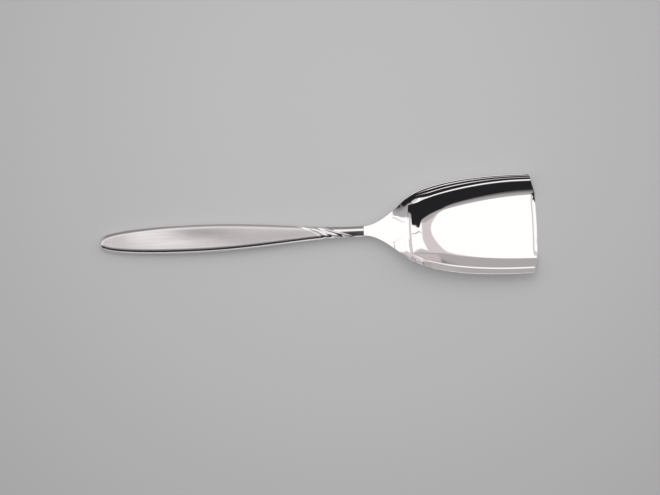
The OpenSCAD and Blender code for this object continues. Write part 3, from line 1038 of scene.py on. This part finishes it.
    def level_half(self, x: float, brink: float, z: float, depth: float) -> float:
        """Half width of the bowl's hollow at a height over its floor.

        Args:
            x: Place along the scoop.
            brink: Half width to the brink there.
            z: Height over the floor's face.
            depth: Distance under the face.

        Returns:
            Half width of the level, which closes in a rounded corner towards the back wall.
        """
        corner = mix(self.floor_corner, self.brink_corner, clamp((z + depth) / self.depth))
        level_x = self.floor_x - self.back_wall.run_at(min(z, self.depth - depth), depth)
        close = 1 - clamp((x - level_x) / corner)
        forward = clamp((x - self.narrow_x) / (self.lip_x - self.narrow_x))
        spread_out = smooth((x - self.brink_x) / self.corner_length)
        run = mix(self.corner_run, self.wall_run, spread_out)
        narrow = mix(run, self.lip_run, forward) / self.wall_run
        side = brink - narrow * (self.wall_run - self.side_wall.run_at(z, depth))
        return max(0.0, side) * math.sqrt(1 - close * close)

    def hollow_height(self, x: float, brink: float, y: float, depth: float) -> float:
        """Height of the bowl's face over its floor, narrowed down by halving.

        Args:
            x: Place along the scoop.
            brink: Half width to the brink there.
            y: Distance from the middle line.
            depth: Distance under the face.

        Returns:
            Height over the floor's face.
        """
        low, high = self.back_wall.height(self.floor_x - x, depth), self.depth
        if x <= self.brink_x:
            return low
        for _ in range(HALVINGS):
            z = (low + high) / 2
            if self.level_half(x, brink, z, depth) < y:
                low = z
            else:
                high = z
        return low

    def dish(self, x: float, brink: float, y: float) -> float:
        """Height that the dished neck and the rising side walls add.

        Args:
            x: Place along the scoop.
            brink: Half width to the brink there.
            y: Distance from the middle line.

        Returns:
            The added height.
        """
        start = self.dish_edge(x, brink)
        if y <= start or start >= brink:
            return 0.0
        return self.side_lift(x, brink) * ((y - start) / (brink - start)) ** 2

    def rim_share(self, x: float) -> float:
        """How far the rim has grown out of the flare."""
        return smooth((x - self.brink_x + self.rim_lead) / self.rim_blend)

    def rim_top(self, s: Station, t: float) -> float:
        """Height of the rim over the brink: a ledge, then a ramp with two fine treads.

        Args:
            s: Station of the section.
            t: Share of the rim's width.

        Returns:
            The height.
        """
        brink = self.brink_half(s)
        ledge = s.ledge / (self.rim_width + s.inward)
        up = clamp((t - ledge) / (1 - ledge))
        level = sum(min(max(0.0, up - start), self.tread_width) for start in self.tread_starts)
        treads = len(self.tread_starts) * self.tread_width
        ramp = (up - s.treads * level) / (1 - s.treads * treads)
        y = mix(brink, s.half, t)
        flare = max(0.0, self.dish(s.x, brink, y) - self.side_lift(s.x, brink))
        return mix(flare, self.rim_rise * ramp, self.rim_share(s.x))

    def widths(self, s: Station) -> list[float]:
        """Choose the points between the middle line and the brink.

        Args:
            s: Station of the section.

        Returns:
            Half widths, even over the floor and by even heights up the wall.
        """
        brink = self.brink_half(s)
        inside = s.x > self.brink_x
        inner = self.neck_floor * brink
        if inside:
            foot = self.level_half(s.x, brink, self.floor_level * self.depth, 0)
            inner = max(inner, foot)
        line = [inner * t for t in shares(self.floor_count)]
        start = self.hollow_height(s.x, brink, inner, 0)
        for t in spread(0, 1, 1 / self.wall_count):
            if inside and t < 1:
                z = mix(start, self.depth, t)
                line.append(min(brink, self.level_half(s.x, brink, z, 0)))
            else:
                line.append(mix(inner, brink, t))
        return line

    def face(self, s: Station, depth: float) -> list[Pair]:
        """Draw the scoop's face from the middle to the brink.

        Args:
            s: Station of the section.
            depth: Distance under the upper face.

        Returns:
            Half widths and heights.
        """
        brink = self.brink_half(s)
        return [(y, self.sheet + self.hollow_height(s.x, brink, y, depth)
                 + self.dish(s.x, brink, y)) for y in self.widths(s)]

    def edge_arc(self, s: Station, start: float, way: int) -> list[Pair]:
        """Draw the rounded outer edge of the rim.

        Args:
            s: Station of the section.
            start: Height at which the round starts.
            way: -1 from the upper face down, 1 from the under face up.

        Returns:
            Half widths and heights out to the outermost point.
        """
        edge = self.rim_edge / 2
        turns = (math.pi / 2 * (i + 0.5) / self.edge_count for i in range(self.edge_count))
        return [(s.half - edge + edge * math.sin(a), start + way * edge * (1 - math.cos(a)))
                for a in turns]

    def upper_half(self, s: Station) -> list[Pair]:
        """Draw the upper face from the middle to the outermost point of the rim.

        Args:
            s: Station of the section.

        Returns:
            Half widths and heights.
        """
        brink, inner = self.brink_half(s), s.half - self.rim_edge / 2
        top = self.brink_height + self.side_lift(s.x, brink)
        rim = [(mix(brink, inner, t), top + self.rim_top(s, t))
               for t in spread(0, 1, 1 / self.rim_count)]
        return self.face(s, 0) + rim + self.edge_arc(s, rim[-1][1], -1)

    def under_half(self, s: Station) -> list[Pair]:
        """Draw the under face from the middle to the outermost point of the rim.

        Args:
            s: Station of the section.

        Returns:
            Half widths and heights, point for point with the upper face.
        """
        brink, inner = self.brink_half(s), s.half - self.rim_edge / 2
        top = self.brink_height + self.side_lift(s.x, brink)
        foot = top + self.rim_top(s, 1.0) - self.rim_edge
        line = self.face(s, self.sheet)
        bend = line[-1][1]
        line += [(mix(brink, inner, t), mix(bend, foot, t))
                 for t in spread(0, 1, 1 / self.rim_count)]
        line += self.edge_arc(s, foot, 1)
        thinned = smooth((s.x - self.mouth_x) / self.neck_length)
        extra = (self.neck_thickness - self.sheet) * (1 - thinned)
        return [(y, z - extra * (1 - (y / s.half) ** self.neck_fade)) for y, z in line]

    def lip_at(self, y: float, z: float) -> float:
        """Find the place of the lip: bulged in plan, leaning back up the walls.

        Args:
            y: Half width of a point of the section.
            z: Height of the point.

        Returns:
            Distance from the tail.
        """
        corner = clamp((y - self.scoop_half) / self.rim_corner + 1)
        cut = self.rim_corner * (1 - math.sqrt(1 - corner * corner))
        lean = self.lip_lean * max(0.0, z - self.sheet) / self.brink_height
        return self.lip_x - self.lip_bulge * (y / self.scoop_half) ** 2 - lean - cut

    def drawn(self, x: float, y: float, z: float) -> float:
        """Draw a place forward, so that the last section lies on the lip.

        Args:
            x: Place of the section.
            y: Half width of a point of the section.
            z: Height of the point.

        Returns:
            Place of the point.
        """
        if x < self.floor_x:
            return x
        pull = (self.lip_at(y, z) - self.floor_x) / (self.lip_x - self.floor_x)
        return self.floor_x + (x - self.floor_x) * pull

    def side_lines(self, s: Station, close: float, ahead: float) -> tuple[Ring, Ring]:
        """Place one side of a section, with the lip's bevel.

        Args:
            s: Station of the section.
            close: Share by which the two faces draw together, to round the lip.
            ahead: Distance that the section stands in front of its station.

        Returns:
            Upper and under face from the middle to the rim.
        """
        bevel = self.bevel_share * clamp((s.x - self.lip_x) / self.lip_bevel + 1)
        lines: tuple[Ring, Ring] = ([], [])
        for i, (a, u) in enumerate(zip(self.upper_half(s), self.under_half(s))):
            share = bevel * (1 - smooth((i - self.floor_count) / self.bevel_fade + 1))
            a = (mix(a[0], u[0], share), mix(a[1], u[1], share))
            middle = (mix(a[0], u[0], 0.5), mix(a[1], u[1], 0.5))
            for line, p in zip(lines, (a, u)):
                y, z = (mix(c, m, close) for c, m in zip(p, middle))
                line.append((self.drawn(s.x, y, z) + ahead - CENTRE_X, y, z))
        return lines

    def ring(self, s: Station, close: float = 0.0, ahead: float = 0.0) -> Ring:
        """Draw one closed section of the scoop.

        Args:
            s: Station of the section.
            close: Share by which the two faces draw together, to round the lip.
            ahead: Distance that the section stands in front of its station.

        Returns:
            The upper face from the near to the far side, then the under face back.
        """
        past = smooth((s.x - self.inward_start) / self.inward_length)
        inward = self.rim_share(s.x) * (1 - past)
        wider = inward * (1 - smooth((s.x - self.brink_x - self.wider_start) / self.wider_length))
        near, far = (
            self.side_lines(replace(s, inward=rim.inward * inward, treads=rim.treads,
                                    ledge=rim.ledge + rim.wider * wider), close, ahead)
            for rim in (self.near_rim, self.far_rim))
        top, bottom = ([(x, -y, z) for x, y, z in reversed(a[1:])] + b for a, b in zip(near, far))
        return top + bottom[::-1]

    def tang_ring(self, x: float, count: int, grow: float = 1.0) -> Ring:
        """Draw one oval section of the tang.

        Args:
            x: Place of the section.
            count: Points of its upper half, as many as a scoop section has.
            grow: Share of its size.

        Returns:
            The upper half from the near to the far side, then the lower half back.
        """
        taper = self.tang_taper * (self.mouth_x - x) / self.tang_length
        half, rise = (grow * (size - taper) / 2 for size in (self.tang_width, self.tang_height))
        seam = self.handle.seam_at(x)
        arc = [math.pi * t for t in shares(count)]
        top = [(x - CENTRE_X, -half * math.cos(a), seam + rise * math.sin(a)) for a in arc]
        return top + [(px, y, 2 * seam - z) for px, y, z in reversed(top)]

    def build(self) -> bpy.types.Object:
        """Wrap the skin of the scoop from the end of its tang to its lip.

        Returns:
            The scoop.
        """
        count = 2 * len(self.upper_half(self.stations[0])) - 1
        end_x = self.mouth_x - self.tang_length
        rings = [self.tang_ring(end_x, count, self.tang_end), self.tang_ring(end_x, count)]
        rings += [self.tang_ring(x, count) for x in spread(end_x, self.mouth_x, self.tang_step)]
        rings += [self.ring(s) for s in self.stations]
        for share in spread(0, 1, 1 / self.edge_count):
            turn = math.pi / 2 * share
            rings.append(self.ring(
                self.stations[-1], 1 - math.cos(turn), self.lip_round * math.sin(turn)))
        return wrap_grid("scoop_bowl_polished", rings)

    def dress(self, piece: bpy.types.Object, material: bpy.types.Material) -> None:
        """Polish the scoop."""
        put_material(piece, material)


class Angle(Enum):
    """Angles of a direction in the tent, by which its panels are edged."""

    ALONG = "from straight up towards the lip"
    ACROSS = "from straight up towards the far side"
    BEARING = "round the horizon from the lip to the far side"
    HEADING = "round the horizon from the far side to the lip"
    TURNED = "round the horizon from the far side, both ways"
    SLANTED = "along, leaning a little with across"
    AHEAD = "bearing, leaning with along"
    SPIKE = "across, leaning back with along"


@dataclass(frozen=True)
class Edge:
    """A soft edge of a panel, in degrees: none of the panel at the start, all of it at the full."""

    angle: Angle
    start: float
    full: float


@dataclass(frozen=True)
class Panel:
    """One panel of the tent inside its edges, with its colour and its light."""

    name: str
    colour: str
    light: float
    edges: tuple[Edge, ...]


LEANING = {Angle.SLANTED: (Angle.ACROSS, 0.1, Angle.ALONG),
           Angle.AHEAD: (Angle.ALONG, 0.5, Angle.BEARING),
           Angle.SPIKE: (Angle.ALONG, -2.2, Angle.ACROSS)}

OVER_FACE = (Edge(Angle.ACROSS, -7, -4), Edge(Angle.ACROSS, 19, 14))

TENT = (
    Panel("shade over the handle's end", WHITE, 0.68, (
        Edge(Angle.ACROSS, -4, 0), Edge(Angle.ACROSS, 12, 8), Edge(Angle.SLANTED, 1.0, -0.5))),
    Panel("sheen over the handle", WHITE, 0.82, (*OVER_FACE, Edge(Angle.SLANTED, -2.4, -3.6))),
    Panel("shade over the handle", WHITE, 0.6, (*OVER_FACE, Edge(Angle.SLANTED, -4.4, -5.2))),
    Panel("bright bar", WHITE, 1.4, (Edge(Angle.SLANTED, -5.6, -6.2),)),
    Panel("roof behind the bar", WHITE, 1.0, (Edge(Angle.SLANTED, -9.5, -12),)),
    Panel("dark spot on the handle", WHITE, 0.2, (
        *OVER_FACE, Edge(Angle.ACROSS, 4, 9),
        Edge(Angle.SLANTED, -4.4, -5.2), Edge(Angle.SLANTED, -7.0, -6.4))),
    Panel("rosy roof ahead", "#E0D7D9", 1.0, (Edge(Angle.ALONG, 15, 19),)),
    Panel("front wall", WHITE, 1.2, (Edge(Angle.ALONG, 48, 52),)),
    Panel("back wall", "#C8C8C8", 1.0, (Edge(Angle.ALONG, -26, -40),)),
    Panel("lamp behind the tip", WHITE, 1.0, (
        Edge(Angle.ALONG, -47, -51), Edge(Angle.ACROSS, 40, 30))),
    Panel("front corner", "#D0CBCD", 1.0, (
        Edge(Angle.ACROSS, 48, 53), Edge(Angle.BEARING, 56, 46))),
    Panel("far wall, top", "#D6D2D3", 1.0, (Edge(Angle.ACROSS, 55, 58),)),
    Panel("far wall", "#B8B4B4", 1.0, (Edge(Angle.ACROSS, 58, 62),)),
    Panel("far wall, foot", "#858383", 1.0, (Edge(Angle.ACROSS, 84, 87),)),
    Panel("seam in the front wall", "#A09C9E", 1.0, (
        Edge(Angle.AHEAD, 38.5, 39.0), Edge(Angle.AHEAD, 40.2, 39.7), Edge(Angle.ALONG, 50, 53))),
    Panel("near roof", "#B8B5B7", 1.0, (Edge(Angle.ACROSS, -10, -14),)),
    Panel("near opening", DARK, 1.0, (Edge(Angle.ACROSS, -18, -66),)),
    Panel("near opening, behind", DARK, 1.0, (
        Edge(Angle.ACROSS, -40, -48), Edge(Angle.ALONG, 4, 0))),
    Panel("near opening, ahead", DARK, 1.0, (
        Edge(Angle.ACROSS, -18, -22), Edge(Angle.ALONG, 13, 20))),
    Panel("tooth on the scoop's back wall", DARK, 1.0, (
        Edge(Angle.SPIKE, -128.5, -131), Edge(Angle.ACROSS, 8, 5), Edge(Angle.ALONG, 68, 64))),
    Panel("dark corner over the tooth", DARK, 1.0, (
        Edge(Angle.ACROSS, -7, -11), Edge(Angle.ALONG, 62, 66))),
    Panel("bright foot of the near side", WHITE, 1.0, (
        Edge(Angle.ACROSS, -81, -84), Edge(Angle.TURNED, 166, 170))),
    Panel("bright foot behind the tail", WHITE, 1.0, (
        Edge(Angle.ACROSS, -81, -84), Edge(Angle.HEADING, -138, -144))),
)


@dataclass
class Studio:
    """The floor, the soft light, the tent and the camera over them, in millimetres and degrees."""

    floor_size: float = 3000.0
    floor_colour: str = "#DCDCDC"
    # painted shade: the floor's colour far from its middle, darker where the light falls off
    floor_shaded_edge: str = "#B9B9B9"
    floor_middle: Point = (20.0, 40.0, 0.0)
    floor_fade: float = 280.0
    floor_glow: float = 0.28
    floor_light: float = 0.69
    floor_grain: float = 10 / 9
    floor_roughness: Pair = (0.8, 0.95)
    floor_sheen: float = 0.1
    camera_lens: float = 100.0
    camera_sensor: float = 36.0
    camera_clip: Pair = (10.0, 20000.0)
    camera_distance: float = 629.0
    camera_target: Pair = (3.7, -4.8)
    camera_tilt: float = 4.0
    camera_roll: float = 2.55
    lamp_size: Pair = (500.0, 400.0)
    lamp_place: Point = (-70.0, 110.0, 400.0)
    lamp_power: float = 0.3
    tent_light: float = 1.2
    tent: tuple[Panel, ...] = TENT

    def build_floor(self) -> None:
        """Lay a grey sheet under the scoop, with painted shade that darkens it away from its
        middle, which glows a little to soften the shadow.
        """
        bpy.ops.object.select_all(action="DESELECT")
        bpy.ops.mesh.primitive_plane_add(size=self.floor_size * MM)
        floor = bpy.context.active_object
        floor.name = "studio_floor"
        material, tree, shader = new_material("matte_studio_paper")
        place = add_node(tree, "ShaderNodeTexCoord", {})
        grain = add_node(tree, "ShaderNodeTexNoise", {
            "Vector": place.outputs["Object"], "Scale": 1 / (self.floor_grain * MM),
            "Detail": 3.0})
        roughness = add_node(tree, "ShaderNodeMapRange", {
            "Value": grain.outputs["Fac"],
            "To Min": self.floor_roughness[0], "To Max": self.floor_roughness[1]})
        middle = add_node(tree, "ShaderNodeVectorMath", {
            0: place.outputs["Object"], 1: [c * MM for c in self.floor_middle]},
            operation="DISTANCE")
        # painted shade: the floor darkens from its middle colour to its edge colour, for the
        # light's falloff
        away = add_node(tree, "ShaderNodeMapRange", {
            "Value": middle.outputs["Value"], "From Max": self.floor_fade * MM},
            interpolation_type="SMOOTHSTEP")
        colour = add_node(tree, "ShaderNodeMix", {
            "Factor": away.outputs["Result"], "A": linear(self.floor_colour),
            "B": linear(self.floor_shaded_edge)}, data_type="RGBA")
        lit = add_node(tree, "ShaderNodeMix", {
            "Factor": self.floor_glow, "A": colour.outputs["Result"], "B": linear(BLACK)},
            data_type="RGBA")
        tree.links.new(roughness.outputs["Result"], shader.inputs["Roughness"])
        tree.links.new(lit.outputs["Result"], shader.inputs["Base Color"])
        tree.links.new(colour.outputs["Result"], shader.inputs["Emission Color"])
        shader.inputs["Emission Strength"].default_value = self.floor_glow * self.floor_light
        shader.inputs["Specular IOR Level"].default_value = self.floor_sheen
        put_material(floor, material)

    def build_lamp(self) -> None:
        """Hang one large soft box over the scoop, a little to its upper left."""
        lamp = bpy.data.lights.new("soft_box", "AREA")
        lamp.shape = "RECTANGLE"
        lamp.size, lamp.size_y = (side * MM for side in self.lamp_size)
        lamp.energy = self.lamp_power
        holder = bpy.data.objects.new("soft_box", lamp)
        holder.location = [c * MM for c in self.lamp_place]
        holder.rotation_euler = (-holder.location).to_track_quat("-Z", "Y").to_euler()
        holder.visible_glossy = False
        bpy.context.scene.collection.objects.link(holder)

    def build_world(self) -> None:
        """Surround the scoop with the white, grey and dark panels of a product tent."""
        world = bpy.data.worlds.new("studio_tent")
        bpy.context.scene.world = world
        world.use_nodes = True
        tree = world.node_tree
        tree.nodes.clear()
        angles = self.tent_angles(tree)
        sky: Any = [c * self.tent_light for c in linear(WHITE)[:3]] + [1.0]
        for panel in self.tent:
            share: Any = 1.0
            for edge in panel.edges:
                soft = add_node(tree, "ShaderNodeMapRange", {
                    "Value": angles[edge.angle], "From Min": math.radians(edge.start),
                    "From Max": math.radians(edge.full)}, interpolation_type="SMOOTHSTEP")
                share = add_node(tree, "ShaderNodeMath", {
                    0: soft.outputs["Result"], 1: share}, operation="MULTIPLY").outputs[0]
            paint = [c * panel.light for c in linear(panel.colour)[:3]] + [1.0]
            sky = add_node(tree, "ShaderNodeMix", {"Factor": share, "A": sky, "B": paint},
                           data_type="RGBA", label=panel.name).outputs["Result"]
        light = add_node(tree, "ShaderNodeBackground", {"Color": sky, "Strength": 1.0})
        add_node(tree, "ShaderNodeOutputWorld", {"Surface": light.outputs["Background"]})

    def tent_angles(self, tree: bpy.types.NodeTree) -> dict[Angle, bpy.types.NodeSocket]:
        """Work out the angles of a direction in the tent.

        Args:
            tree: The world's tree.

        Returns:
            Each angle's output socket, in radians.
        """
        place = add_node(tree, "ShaderNodeTexCoord", {})
        axes = add_node(tree, "ShaderNodeSeparateXYZ", {"Vector": place.outputs["Generated"]})
        x, y, z = (axes.outputs[k] for k in "XYZ")
        sides = {Angle.ALONG: (x, z), Angle.ACROSS: (y, z),
                 Angle.BEARING: (y, x), Angle.HEADING: (x, y)}
        angles = {angle: add_node(tree, "ShaderNodeMath", {0: a, 1: b},
                                  operation="ARCTAN2").outputs[0]
                  for angle, (a, b) in sides.items()}
        angles[Angle.TURNED] = add_node(tree, "ShaderNodeMath", {
            0: angles[Angle.HEADING]}, operation="ABSOLUTE").outputs[0]
        for angle, (lean, share, base) in LEANING.items():
            angles[angle] = add_node(tree, "ShaderNodeMath", {
                0: angles[lean], 1: share, 2: angles[base]}, operation="MULTIPLY_ADD").outputs[0]
        return angles

    def build_camera(self) -> None:
        """Place the camera nearly straight above, as the photograph was taken."""
        lens = bpy.data.cameras.new("camera")
        lens.lens = self.camera_lens
        lens.sensor_width = self.camera_sensor
        lens.clip_start, lens.clip_end = (c * MM for c in self.camera_clip)
        holder = bpy.data.objects.new("camera", lens)
        bpy.context.scene.collection.objects.link(holder)
        tilt, roll = math.radians(self.camera_tilt), math.radians(self.camera_roll)
        back = self.camera_distance * math.sin(tilt)
        target_x, target_y = self.camera_target
        place = (target_x - back * math.sin(roll), target_y - back * math.cos(roll),
                 self.camera_distance * math.cos(tilt))
        holder.location = [c * MM for c in place]
        holder.rotation_euler = (tilt, 0.0, -roll)
        bpy.context.scene.camera = holder


def main() -> None:
    """Build and dress the scoop, then the studio round it."""
    logging.basicConfig(level=logging.INFO, format="%(message)s")
    bpy.context.scene.view_settings.view_transform = "Standard"
    satin = SatinSteel()
    mirror_steel, satin_steel = MirrorSteel().material(), satin.material()
    solder, cement = Solder().material(), FillerCement().material()

    handle = HollowHandle()
    scoop = ScoopBowl(handle)
    bowl = scoop.build()
    scoop.dress(bowl, mirror_steel)
    settle(bowl, Slot.MIRROR, Node.BOWL)
    front = handle.build_front()
    handle.dress(front, satin_steel, satin.mask)
    settle(front, Slot.SATIN, Node.FRONT)
    back = handle.build_back()
    handle.dress(back, satin_steel, satin.mask)
    settle(back, Slot.SATIN, Node.BACK)

    packed = {Node.BOWL: mirror_steel, Node.FRONT: satin_steel, Node.BACK: satin_steel,
              Node.SEAM: solder, Node.NECK: solder, Node.FILLER: cement}
    for node, material in packed.items():
        put_material(bpy.data.objects[node.value], material)
        LOG.info("%s: packed solid in %s", node.value, material.name)

    studio = Studio()
    studio.build_floor()
    studio.build_lamp()
    studio.build_world()
    studio.build_camera()


if __name__ == "__main__":
    main()
